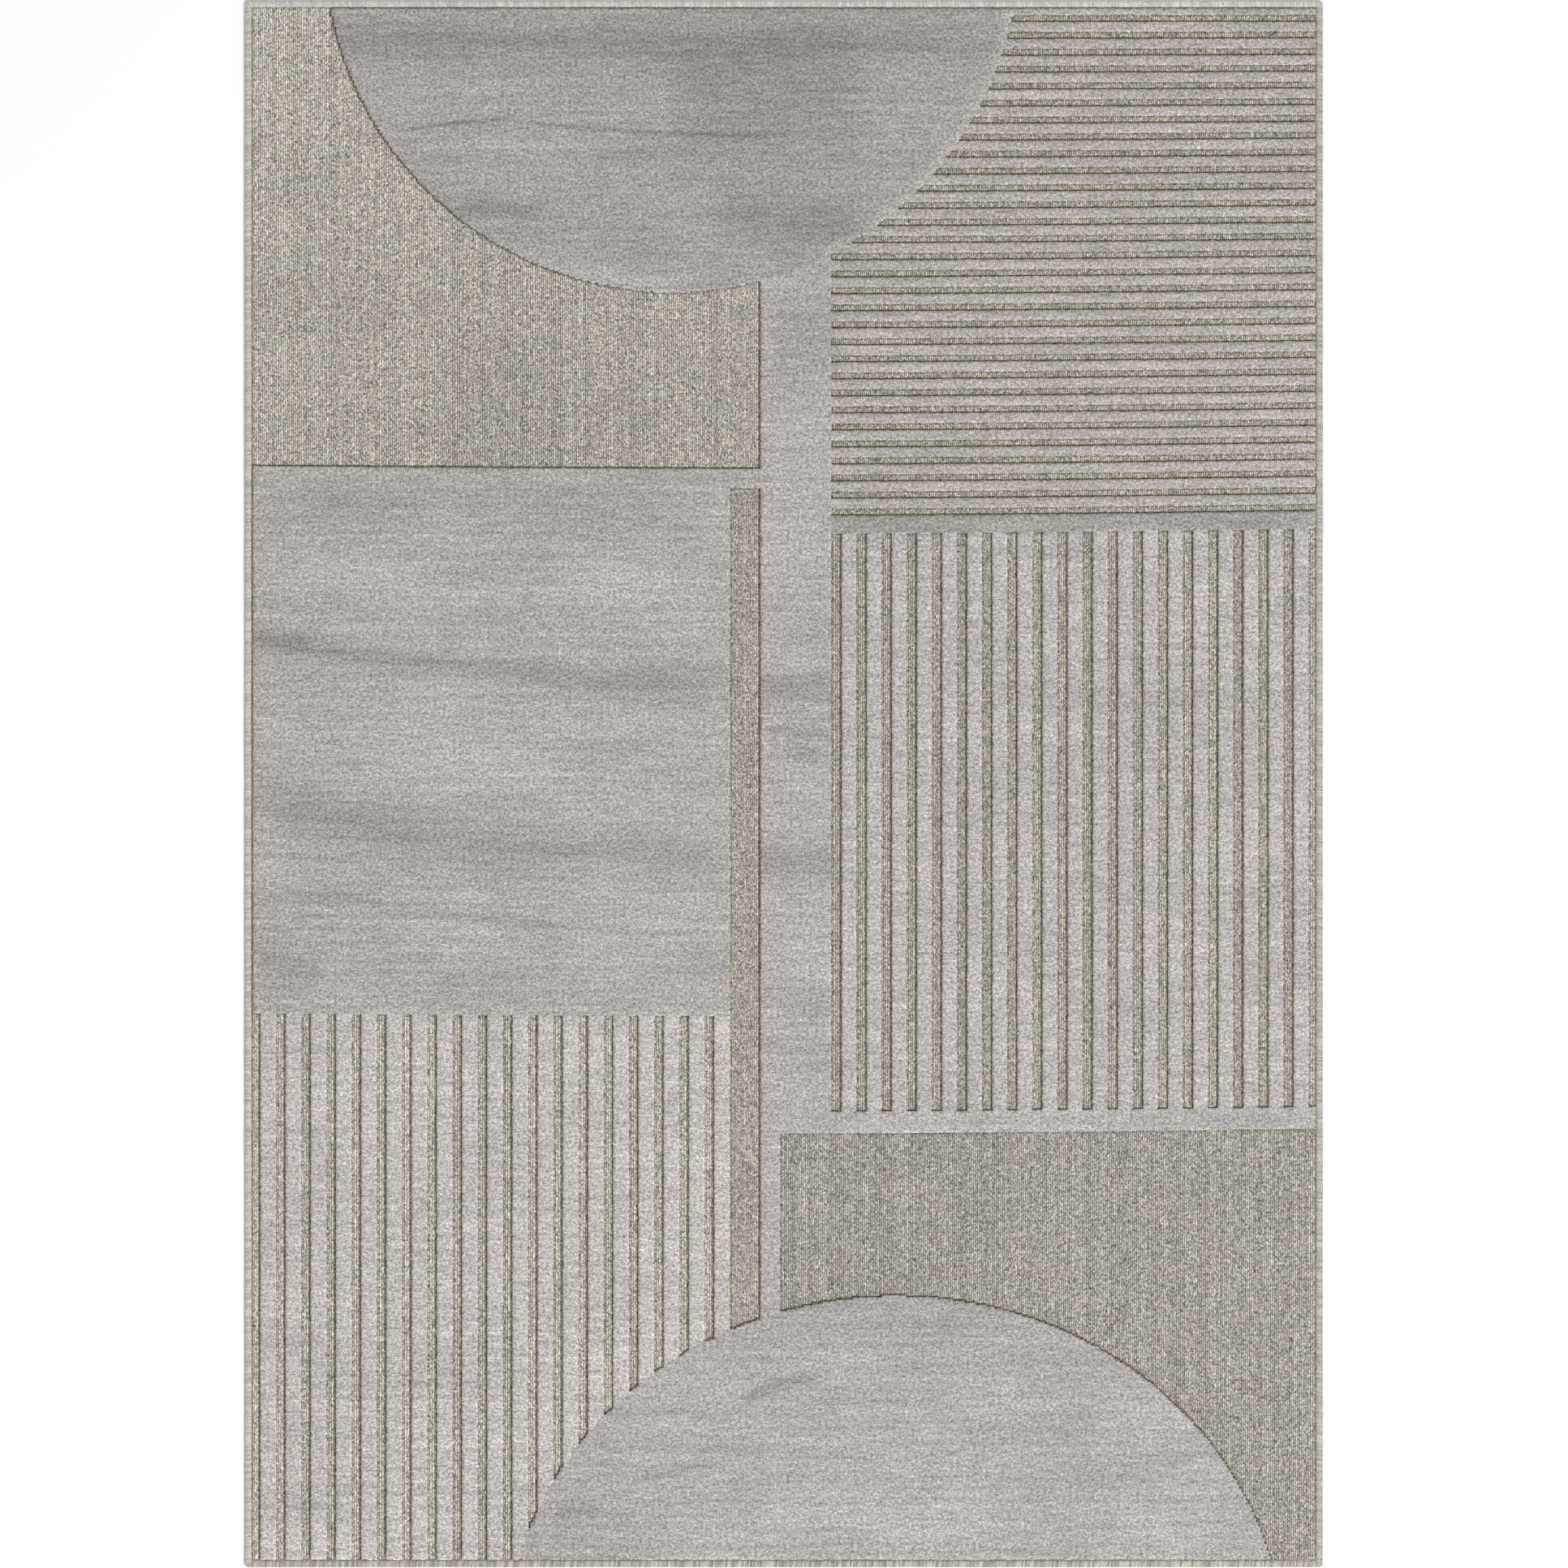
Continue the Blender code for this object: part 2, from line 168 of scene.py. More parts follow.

# ---- Marks ---------------------------------------------------------------------------------------
# Marks: (left x, right x, y at the left, y at the right, half width, tone). PILE_MARKS are brushed and
# pressed marks, painted as lighter and darker strokes where the pile's lay takes the light differently.
MARK_STRENGTH = 1.45
MARK_FADE = 0.15  # share of a stroke over which each of its ends fades
PILE_MARKS = (
    (-0.79, -0.07, 0.425, 0.415, 0.035, 0.93),
    (-0.79, -0.09, 0.330, 0.285, 0.030, 1.06),
    (-0.83, -0.07, 0.225, 0.150, 0.020, 0.84),
    (-0.83, -0.69, 0.220, 0.212, 0.013, 0.86),
    (-0.83, -0.30, 0.095, 0.050, 0.045, 1.07),
    (-0.83, -0.07, -0.020, -0.105, 0.036, 0.88),
    (-0.73, -0.07, -0.155, -0.222, 0.007, 0.91),
    (-0.79, -0.68, -0.262, -0.280, 0.026, 0.86),
    (-0.70, 0.36, 1.105, 1.100, 0.028, 0.85),
    # Two thin creases, their dark painted as shade.
    (-0.58, -0.39, 0.966, 0.986, 0.0030, 0.76),
    (-0.42, 0.02, 0.986, 0.961, 0.0030, 0.76),
    (-0.56, -0.28, 0.950, 0.948, 0.008, 1.08),
    (-0.18, 0.13, 1.020, 1.020, 0.100, 0.90),
    (-0.12, 0.14, 0.850, 0.838, 0.040, 0.85),
    (-0.49, -0.35, 0.856, 0.852, 0.012, 0.85),
    (-0.41, -0.11, 0.780, 0.744, 0.012, 1.10),
    (-0.07, 0.06, -0.918, -0.880, 0.010, 0.82),
    (-0.34, -0.27, -1.084, -1.073, 0.009, 0.87),
    (-0.23, -0.08, -1.035, -1.010, 0.010, 0.92),
    (-0.38, 0.70, -1.090, -1.090, 0.050, 1.05),
    (-0.05, 0.38, -0.800, -0.792, 0.025, 0.95),
    (-0.02, 0.09, 0.660, 0.660, 0.060, 0.89),
    (-0.05, 0.09, 0.150, 0.145, 0.020, 0.84),
    (-0.03, 0.07, 0.085, 0.076, 0.007, 0.88),
    (0.00, 0.05, 0.055, 0.040, 0.018, 0.88),
    (-0.05, 0.09, -0.115, -0.115, 0.027, 0.86),
    (-0.05, 0.09, -0.300, -0.320, 0.018, 0.92),
    (-0.05, 0.09, -0.380, -0.395, 0.014, 0.94),
    (0.25, 0.82, 0.128, 0.120, 0.024, 0.93),
)
# Over the flat weave: lighter towards the top left corner, darker in a band lower down.
WEAVE_MARKS = (
    (-1.10, -0.45, 1.120, 1.100, 0.200, 1.09),
    (-0.60, 0.20, 0.540, 0.560, 0.120, 0.93),
)


# ---- Weave grid ----------------------------------------------------------------------------------
def grid_lines(keys, pitch):
    """Lines through all keys, with steps as near to the pitch as whole steps allow."""
    keys = sorted(keys)
    lines = [keys[0]]
    for low, high in zip(keys, keys[1:]):
        steps = max(1, round((high - low) / pitch))
        lines.extend(low + (high - low) * (step + 1) / steps for step in range(steps))
    return np.array(lines)


def upright_keys():
    keys = [-PILE_X - TUCK, -PILE_X, SQUARE_RIGHT, BAND_LEFT, BAND_FOOT_RIGHT, BAND_RIGHT]
    keys += [PILE_X, PILE_X + TUCK]
    for index in range(LEFT_RIBS):
        right = SQUARE_RIGHT - LEFT_PITCH * (LEFT_RIBS - 1 - index)
        keys.append(right - LEFT_PITCH + LEFT_GROOVE)
        if index < LEFT_RIBS - 1:
            keys.append(right)
    for index in range(RIGHT_RIBS):
        keys.append(BAND_RIGHT + RIGHT_GROOVE + RIGHT_PITCH * index)
        keys.append(BAND_RIGHT + RIGHT_PITCH * (index + 1))
    return keys


def level_keys():
    keys = [-PILE_Y - TUCK, -PILE_Y, LOWER_CROSS[0], LOWER_CROSS[1], SQUARE_BOTTOM, UPPER_CROSS[0]]
    keys += [ARM_BOTTOM, SQUARE_TOP, PILE_Y, PILE_Y + TUCK]
    for index in range(LEVEL_RIBS):
        low = UPPER_CROSS[1] + LEVEL_PITCH * index
        keys += [low, low + LEVEL_GROOVE]
    return keys


XS = grid_lines(upright_keys(), REED)
YS = grid_lines(level_keys(), ROW)
CELLS = (len(XS) - 1, len(YS) - 1)
CORNERS = (len(XS), len(YS))
CELL_X, CELL_Y = np.meshgrid((XS[1:] + XS[:-1]) / 2, (YS[1:] + YS[:-1]) / 2, indexing="ij")


def in_top_disc(inset=0.0):
    across = CELL_X - TOP_DISC_CENTRE[0]
    along = CELL_Y - TOP_DISC_CENTRE[1]
    return across**2 + along**2 < (TOP_DISC_RADIUS - inset) ** 2


def in_bottom_disc():
    across = (CELL_X - BOTTOM_DISC_CENTRE[0]) / BOTTOM_DISC_RADII[0]
    along = (CELL_Y - BOTTOM_DISC_CENTRE[1]) / BOTTOM_DISC_RADII[1]
    return across**2 + along**2 < 1


def between(values, low, high):
    return (values > low) & (values < high)


def pile_cells():
    """Which cells stand in pile, under the name of the CAD node that holds them."""
    inside = between(CELL_X, -PILE_X, PILE_X) & between(CELL_Y, -PILE_Y, PILE_Y)
    disc = in_top_disc() & inside
    foot = in_bottom_disc() & inside
    spine_left = BAND_RIGHT - COMB_SPINE
    above = CELL_Y > UPPER_CROSS[1]
    comb = disc & ~in_top_disc(COMB_SPINE) & (CELL_X > spine_left) & above
    comb |= between(CELL_X, spine_left, BAND_RIGHT) & above & ~disc
    for index in range(LEVEL_RIBS):
        low = UPPER_CROSS[1] + LEVEL_PITCH * index + LEVEL_GROOVE
        high = min(low + LEVEL_PITCH - LEVEL_GROOVE, PILE_Y)
        comb |= between(CELL_X, BAND_RIGHT, PILE_X) & between(CELL_Y, low, high) & ~disc
    areas = {"pile_top_half_disc": disc & ~comb, "pile_horizontal_rib_comb": comb & inside}
    square = between(CELL_X, -PILE_X, SQUARE_RIGHT) & between(CELL_Y, SQUARE_BOTTOM, SQUARE_TOP)
    square |= between(CELL_X, SQUARE_RIGHT, BAND_LEFT) & between(CELL_Y, ARM_BOTTOM, SQUARE_TOP)
    areas["pile_left_square"] = square
    band = between(CELL_X, BAND_LEFT, BAND_RIGHT) & (CELL_Y > LOWER_CROSS[1])
    band |= between(CELL_X, BAND_LEFT, BAND_FOOT_RIGHT) & (CELL_Y < LOWER_CROSS[1])
    areas["pile_centre_band"] = band & inside & ~disc & ~comb & ~foot
    areas["pile_upper_cross_band"] = between(CELL_X, BAND_RIGHT, PILE_X) & between(CELL_Y, *UPPER_CROSS)
    foot_right = between(CELL_X, BAND_FOOT_RIGHT, PILE_X)
    areas["pile_lower_cross_band"] = foot_right & between(CELL_Y, *LOWER_CROSS)
    areas["pile_bottom_half_disc"] = foot
    for index in range(RIGHT_RIBS):
        left = BAND_RIGHT + RIGHT_GROOVE + RIGHT_PITCH * index
        right = BAND_RIGHT + RIGHT_PITCH * (index + 1)
        rib = between(CELL_X, left, right) & between(CELL_Y, LOWER_CROSS[1], UPPER_CROSS[0])
        areas[f"pile_right_rib_{index + 1:02d}"] = rib
    for index in range(LEFT_RIBS):
        right = SQUARE_RIGHT - LEFT_PITCH * (LEFT_RIBS - 1 - index)
        left = right - LEFT_PITCH + LEFT_GROOVE
        rib = between(CELL_X, left, right) & between(CELL_Y, -PILE_Y, SQUARE_BOTTOM) & ~foot
        areas[f"pile_left_rib_{index + 1:02d}"] = rib
    return areas


def ground_cells(pile):
    """Which cells show the flat weave, area by area."""
    ground = ~pile
    inside = between(CELL_X, -PILE_X, PILE_X) & between(CELL_Y, -PILE_Y, PILE_Y)
    right = CELL_X > BAND_RIGHT
    areas = {
        "flat_weave_horizontal_grooves": right & (CELL_Y > UPPER_CROSS[1]),
        "flat_weave_right_grooves": right & between(CELL_Y, LOWER_CROSS[1], UPPER_CROSS[0]),
        "flat_weave_lower_right": (CELL_X > BAND_FOOT_RIGHT) & (CELL_Y < LOWER_CROSS[0]),
        "flat_weave_left_grooves": (CELL_X < SQUARE_RIGHT) & (CELL_Y < SQUARE_BOTTOM),
        "flat_weave_narrow_strip": between(CELL_X, SQUARE_RIGHT, BAND_LEFT) & (CELL_Y < ARM_BOTTOM),
        "flat_weave_upper_left": (CELL_X < BAND_LEFT) & (CELL_Y > SQUARE_TOP),
    }
    areas = {name: cells & ground & inside for name, cells in areas.items()}
    areas["flat_weave_margin"] = ~inside
    return areas


def around_corners():
    """For each of a cell's four corners, the part of the corner grid that holds it for all cells."""
    for right in (0, 1):
        for high in (0, 1):
            yield right, high, (slice(right, CELLS[0] + right), slice(high, CELLS[1] + high))


def at_corners(cells):
    """For each grid corner, how many of the four cells around it are in the area."""
    count = np.zeros(CORNERS, int)
    for _, _, window in around_corners():
        count[window] += cells
    return count


def shifted(cells, right, up):
    """The area moved by whole cells, to the right and up."""
    moved = np.zeros_like(cells)
    from_x = slice(max(0, -right), CELLS[0] - max(0, right))
    from_y = slice(max(0, -up), CELLS[1] - max(0, up))
    to_x = slice(max(0, right), CELLS[0] + min(0, right))
    to_y = slice(max(0, up), CELLS[1] + min(0, up))
    moved[to_x, to_y] = cells[from_x, from_y]
    return moved


def bowed(x, y):
    """The height in y at which the row through this point really runs."""
    side = np.where(x < 0, BOW_LEFT, BOW_RIGHT)
    fade = 1 - (np.minimum(np.abs(y), FIELD_Y) / FIELD_Y) ** BOW_FADE
    return y + side * (np.minimum(np.abs(x), FIELD_X) / FIELD_X) ** BOW_CURVE * fade


def rough(shape, amount):
    return RANDOM.normal(0.0, amount, shape).clip(-2.2 * amount, 2.2 * amount)


# ---- Meshes --------------------------------------------------------------------------------------
def mesh_of(name, points, groups, weave=None, creased=()):
    """A mesh from points and groups of faces, one face a row. Creased groups are shaded flat."""
    smooth = [np.full(len(group), place not in creased) for place, group in enumerate(groups)]
    smooth = np.concatenate(smooth)
    corners = np.concatenate([np.asarray(group, np.int32).ravel() for group in groups])
    sizes = np.concatenate([np.full(len(group), len(group[0]), np.int32) for group in groups])
    starts = np.concatenate([[0], np.cumsum(sizes)[:-1]]).astype(np.int32)
    mesh = bpy.data.meshes.new(name)
    mesh.vertices.add(len(points))
    mesh.vertices.foreach_set("co", np.asarray(points, np.float32).ravel())
    mesh.loops.add(len(corners))
    mesh.loops.foreach_set("vertex_index", corners)
    mesh.polygons.add(len(sizes))
    mesh.polygons.foreach_set("loop_start", starts)
    mesh.update(calc_edges=True)
    mesh.polygons.foreach_set("use_smooth", smooth)
    edges = np.empty(len(corners), np.int32)
    mesh.loops.foreach_get("edge_index", edges)
    sharp = np.zeros(len(mesh.edges), bool)
    sharp[edges[np.repeat(~smooth, sizes)]] = True
    mesh.attributes.new("sharp_edge", "BOOLEAN", "EDGE").data.foreach_set("value", sharp)
    if weave is not None:
        stored = mesh.attributes.new("weave", "FLOAT_VECTOR", "POINT")
        stored.data.foreach_set("vector", np.asarray(weave, np.float32).ravel())
    return mesh


def mark_cloth(mesh, marks):
    """Stores the marks on the mesh, as a tone for each point."""
    place = np.empty(3 * len(mesh.vertices), np.float32)
    mesh.vertices.foreach_get("co", place)
    x, y = place[0::3], place[1::3]
    tone = np.ones(len(x))
    for left, right, start, end, width, strength in marks:
        share = (x - left) / (right - left)
        middle = end + (start - end) * np.clip(1 - share, 0, 1) ** 2
        fade = np.clip(np.minimum(share, 1 - share) / MARK_FADE, 0, 1)
        tone *= 1 + MARK_STRENGTH * (strength - 1) * fade * np.exp(-(((y - middle) / width) ** 2))
    mesh.attributes.new("lie", "FLOAT", "POINT").data.foreach_set("value", tone.astype(np.float32))


def new_piece(name, mesh, material):
    mesh.materials.append(material)
    piece = bpy.data.objects.new(name, mesh)
    bpy.context.scene.collection.objects.link(piece)
    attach(piece, "root")
    return piece


def closed_cells(name, cells, levels, shades, domes=None, same=None):
    """A closed mesh over an area of cells: its top, walls down through the levels, and a floor.

    levels are corner grids of points, from the top to the foot, and shades say how dark each is. domes
    are the raised middles of the cells, as (points, shades). same is the larger area that this one is a
    part of, and walls inside it are creased, so that the surface looks whole across them.
    """
    same = cells if same is None else same
    used = at_corners(cells)
    on_top = used > 0
    on_rim = on_top & (used < 4)
    top = np.full(CORNERS, -1)
    top[on_top] = np.arange(on_top.sum())
    ui, vi = np.nonzero(on_top)
    points = [levels[0][on_top]]
    weave = [np.column_stack([ui, vi, shades[0][on_top]])]
    total = len(points[0])
    rims = [top]
    ui, vi = np.nonzero(on_rim)
    for level, shade in zip(levels[1:], shades[1:]):
        index = np.full(CORNERS, -1)
        index[on_rim] = total + np.arange(on_rim.sum())
        points.append(level[on_rim])
        weave.append(np.column_stack([ui, vi, shade[on_rim]]))
        total += len(points[-1])
        rims.append(index)
    i, j = np.nonzero(cells)
    square = np.column_stack([top[i, j], top[i + 1, j], top[i + 1, j + 1], top[i, j + 1]])
    if domes is None:
        groups = [square]
    else:
        middle = total + np.arange(len(i))
        points.append(domes[0][i, j])
        weave.append(np.column_stack([i + 0.5, j + 0.5, domes[1][i, j]]))
        groups = [np.column_stack([square[:, k], square[:, (k + 1) % 4], middle]) for k in range(4)]
    # Step to the neighbour, and the wall's two corners.
    sides = (
        ((0, -1), (0, 0), (1, 0)),
        ((1, 0), (1, 0), (1, 1)),
        ((0, 1), (1, 1), (0, 1)),
        ((-1, 0), (0, 1), (0, 0)),
    )
    creased = set()
    for (right, up), start, end in sides:
        wall = cells & ~shifted(cells, -right, -up)
        inner = shifted(same, -right, -up)
        for part, is_inner in ((wall & inner, True), (wall & ~inner, False)):
            i, j = np.nonzero(part)
            if not len(i):
                continue
            first = (i + start[0], j + start[1])
            second = (i + end[0], j + end[1])
            for high, low in zip(rims, rims[1:]):
                if is_inner:
                    creased.add(len(groups))
                groups.append(np.column_stack([high[second], high[first], low[first], low[second]]))
    floor = rims[-1]
    for j in np.nonzero(cells.any(axis=0))[0]:
        edges = np.flatnonzero(np.diff(np.concatenate([[0], cells[:, j].astype(int), [0]])))
        for start, end in zip(edges[::2], edges[1::2]):
            low = floor[start : end + 1, j]
            high = floor[start : end + 1, j + 1]
            ring = np.concatenate([low[low >= 0], high[high >= 0][::-1]])
            creased.add(len(groups))
            groups.append(ring[::-1][None, :])
    return mesh_of(name, np.concatenate(points), groups, np.concatenate(weave), creased)


def check_closed(piece):
    """Stops on a mesh whose edges aren't each shared by exactly two faces."""
    mesh = piece.data
    edges = np.empty(len(mesh.loops), np.int32)
    mesh.loops.foreach_get("edge_index", edges)
    if (np.bincount(edges, minlength=len(mesh.edges)) != 2).any():
        raise ValueError(f"{piece.name} isn't closed")


# ---- Materials -----------------------------------------------------------------------------------
class Shader:
    """A material's node tree, built by short calls.

    An input may be a number, a colour or another node's output.
    """

    def __init__(self, name, roughness, sheen=0.0):
        self.material = bpy.data.materials.new(name)
        self.material.use_nodes = True
        self.tree = self.material.node_tree
        self.surface = self.tree.nodes["Principled BSDF"]
        self.surface.inputs["Roughness"].default_value = roughness
        self.surface.inputs["Specular IOR Level"].default_value = 0.15
        self.surface.inputs["Sheen Weight"].default_value = sheen
        self.surface.inputs["Sheen Roughness"].default_value = 0.6

    def set(self, socket, value):
        if isinstance(value, bpy.types.NodeSocket):
            self.tree.links.new(value, socket)
        elif socket.type == "VECTOR":
            socket.default_value = value[:3]
        else:
            socket.default_value = value

    def node(self, kind, settings=None, **inputs):
        made = self.tree.nodes.new("ShaderNode" + kind)
        for key, value in (settings or {}).items():
            setattr(made, key, value)
        for key, value in inputs.items():
            self.set(made.inputs[key], value)
        return made

    def maths(self, operation, first, second=0.0):
        made = self.tree.nodes.new("ShaderNodeMath")
        made.operation = operation
        for socket, value in zip(made.inputs, (first, second)):
            self.set(socket, value)
        return made.outputs[0]

    def product(self, first, *others):
        for other in others:
            first = self.maths("MULTIPLY", first, other)
        return first

    def chance(self, value, second=None):
        """A random number from 0 to 1 for each whole number, or pair of them."""
        if second is None:
            settings, inputs = {"noise_dimensions": "1D"}, {"W": self.maths("FLOOR", value)}
        else:
            cell = self.node("CombineXYZ", X=self.maths("FLOOR", value), Y=self.maths("FLOOR", second))
            settings, inputs = {"noise_dimensions": "2D"}, {"Vector": cell.outputs[0]}
        return self.node("TexWhiteNoise", settings, **inputs).outputs["Value"]

    def weave(self):
        """Warp end, weft row and shade of a point, each as a number."""
        source = self.node("Attribute", {"attribute_name": "weave"})
        parts = self.node("SeparateXYZ", Vector=source.outputs["Vector"])
        return parts.outputs[0], parts.outputs[1], parts.outputs[2]

    def lie(self):
        return self.node("Attribute", {"attribute_name": "lie"}).outputs["Fac"]

    def place(self, scale):
        """Object coordinates times the scale in x, y and z."""
        source = self.node("TexCoord")
        moved = self.node("VectorMath", {"operation": "MULTIPLY"})
        self.set(moved.inputs[0], source.outputs["Object"])
        self.set(moved.inputs[1], scale)
        return moved.outputs[0]

    def noise(self, scale, detail=2.0, roughness=0.6, offset=0.0):
        """Noise from about 0 to 1, whose size along each axis is one over the scale."""
        vector = self.place(scale)
        if offset:
            shift = self.node("VectorMath", {"operation": "ADD"})
            self.set(shift.inputs[0], vector)
            self.set(shift.inputs[1], (offset, offset, offset))
            vector = shift.outputs[0]
        made = self.node("TexNoise", Vector=vector, Scale=1.0, Detail=detail, Roughness=roughness)
        return made.outputs[0]

    def spread(self, value, low, high, from_low=0.0, from_high=1.0):
        made = self.tree.nodes.new("ShaderNodeMapRange")
        made.clamp = True
        for socket, number in zip(made.inputs, (value, from_low, from_high, low, high)):
            self.set(socket, number)
        return made.outputs[0]

    def mix(self, share, first, second):
        made = self.node("Mix", {"data_type": "RGBA"})
        self.set(made.inputs["Factor"], share)
        self.set(made.inputs[6], first)
        self.set(made.inputs[7], second)
        return made.outputs[2]

    def scaled(self, colour, factor):
        made = self.node("VectorMath", {"operation": "SCALE"})
        self.set(made.inputs[0], colour)
        self.set(made.inputs["Scale"], factor)
        return made.outputs[0]

    def finish(self, colour, height=None, depth=0.0005):
        self.set(self.surface.inputs["Base Color"], colour)
        if height is not None:
            bump = self.node("Bump", Height=height, Distance=depth, Strength=1.0)
            self.set(self.surface.inputs["Normal"], bump.outputs[0])
        return self.material


def rgba(colour, red=1.0, green=1.0, blue=1.0):
    """The colour with each channel times its factor, and with alpha."""
    return (colour[0] * red, colour[1] * green, colour[2] * blue, 1.0)


def pile_material(name, colour):
    """Cut pile: specks of single tufts, brushed streaks along the rows, tan rims, dark feet of painted
    shade, brown where the backing shows, and a painted highlight on lit tips.
    """
    shader = Shader(name, 0.95, 0.05)
    _, _, shade = shader.weave()
    # The marks' tone, times a painted highlight on lit tips.
    lie = shader.product(shader.lie(), shader.spread(shade, LIT_TONE, 1.0, -LIT_RIM, 0.0))
    tufts = shader.noise((780.0, 780.0, 90.0), 1.0, 0.8)
    strands = shader.noise((210.0, 250.0, 60.0), 1.0, 0.6, 2.3)
    clumps = shader.noise((35.0, 120.0, 30.0), 1.0, 0.6, 5.9)
    grain = shader.product(
        shader.spread(tufts, 0.12, 2.02, 0.29, 0.74),
        shader.spread(strands, 0.56, 1.44, 0.25, 0.75),
        shader.spread(clumps, 0.90, 1.10, 0.28, 0.72),
    )
    streaks = shader.noise((3.5, 105.0, 1.0), 3.0, 0.6, 3.1)
    clouds = shader.noise((6.0, 12.0, 1.0), 2.0, 0.5, 7.7)
    brushed = shader.spread(streaks, 0.89, 1.11, 0.3, 0.7)
    cloudy = shader.spread(clouds, 0.93, 1.07, 0.3, 0.7)
    tone = shader.product(shader.product(grain, brushed), shader.product(cloudy, lie))
    tint = shader.noise((300.0, 300.0, 60.0), 1.0, 0.5, 11.0)
    warm = rgba(colour, 1.02, 0.99, 0.99)
    cool = rgba(colour, 0.98, 1.01, 1.01)
    face = shader.mix(shader.spread(tint, 0.0, 1.0, 0.35, 0.65), warm, cool)
    tan = rgba(colour, 0.95, 0.82, 0.68)
    # Painted shade down the walls to the feet, tinted brown as the backing that shows there.
    foot = rgba(colour, 0.32, 0.21, 0.12)
    rim = shader.mix(shader.spread(shade, 0.0, 1.0, 0.0, 0.4), face, tan)
    colour_with_painted_shade = shader.mix(shader.spread(shade, 0.0, 1.0, 0.4, 1.0), rim, foot)
    return shader.finish(shader.scaled(colour_with_painted_shade, tone), tufts, 0.0006)


def flat_weave_material(name, colour):
    """Flat weave: floats in columns between dark reed gaps, uneven from float to float, with painted
    shadow beside the pile.
    """
    shader = Shader(name, 0.9, 0.03)
    end, row, shade = shader.weave()
    across = shader.maths("PINGPONG", end, 0.5)
    along = shader.maths("PINGPONG", row, 0.5)
    column = shader.spread(across, 0.26, 1.0, 0.02, 0.26)
    crown = shader.product(column, shader.spread(along, 0.76, 1.0, 0.0, 0.25))
    single = shader.spread(shader.chance(end, row), 0.74, 1.26)
    column_tone = shader.spread(shader.chance(end), 0.88, 1.12)
    fleck = shader.noise((640.0, 300.0, 60.0), 1.0, 0.75)
    fine = shader.spread(fleck, 0.24, 1.88, 0.30, 0.72)
    broad = shader.spread(shader.noise((9.0, 9.0, 1.0), 2.0, 0.5, 5.0), 0.95, 1.05, 0.3, 0.7)
    tone = shader.product(shader.product(crown, single), shader.product(fine, broad))
    tone = shader.product(tone, column_tone, shader.lie())
    tint = shader.noise((170.0, 80.0, 40.0), 2.0, 0.6, 11.0)
    green = rgba(colour, 0.980, 1.005, 0.985)
    pink = rgba(colour, 1.025, 0.990, 0.985)
    face = shader.mix(shader.spread(tint, 0.0, 1.0, 0.4, 0.6), green, pink)
    # Painted shadow and shade beside the pile, tinted brown.
    dark = rgba(colour, 0.15, 0.10, 0.06)
    colour_with_painted_shade = shader.mix(shader.spread(shade, 0.0, 1.0), face, dark)
    return shader.finish(shader.scaled(colour_with_painted_shade, tone), fleck, 0.0004)


def yarn_material(name, colour, swing):
    """Wrapped or stitched yarn: the weave's first number counts the wraps, which differ by the swing,
    and its third is painted shade.
    """
    shader = Shader(name, 0.8, 0.08)
    wrap, _, shade = shader.weave()
    single = shader.spread(shader.chance(wrap), 1.0 - swing, 1.0 + swing)
    crown = shader.spread(shader.maths("PINGPONG", wrap, 0.5), 0.78, 1.06, 0.0, 0.35)
    fibre = shader.noise((420.0, 420.0, 420.0), 2.0, 0.7)
    fine = shader.spread(fibre, 0.55, 1.45, 0.25, 0.75)
    tone = shader.product(single, crown, fine)
    # Painted shade, darkest where the weave's third number is 1.
    colour_with_painted_shade = shader.mix(shader.spread(shade, 0.0, 1.0), rgba(colour), rgba(colour, 0.3, 0.3, 0.3))
    return shader.finish(shader.scaled(colour_with_painted_shade, tone), fibre, 0.0003)


def jute_material():
    shader = Shader("jute_backing_weave", 0.95)
    level = shader.noise((30.0, 480.0, 30.0), 2.0)
    upright = shader.noise((480.0, 30.0, 30.0), 2.0, 0.6, 4.0)
    crossed = shader.product(*(shader.spread(yarn, 0.7, 1.3, 0.3, 0.7) for yarn in (level, upright)))
    return shader.finish(shader.scaled(rgba((0.34, 0.24, 0.14)), crossed), level, 0.0004)


def latex_material():
    """Size coat over a coarse weave: a grid shows through the film, which has pooled unevenly."""
    shader = Shader("latex_size_coat", 0.55)
    grid = shader.node("TexBrick", Vector=shader.place((1.0, 1.0, 1.0)), Scale=1.0)
    grid.offset = 0.0
    grid.inputs["Brick Width"].default_value = 0.0062
    grid.inputs["Row Height"].default_value = 0.0050
    grid.inputs["Mortar Size"].default_value = 0.0009
    grid.inputs["Mortar Smooth"].default_value = 1.0
    for socket, grey in (("Color1", 0.55), ("Color2", 0.65), ("Mortar", 0.0)):
        grid.inputs[socket].default_value = rgba((grey, grey, grey))
    pooled = shader.spread(shader.noise((14.0, 14.0, 14.0), 4.0), 0.0, 1.0, 0.35, 0.65)
    film = shader.mix(pooled, rgba((0.56, 0.51, 0.42)), rgba((0.46, 0.41, 0.32)))
    tone = shader.spread(grid.outputs["Color"], 0.72, 1.05, 0.0, 0.6)
    return shader.finish(shader.scaled(film, tone), grid.outputs["Color"], 0.0005)


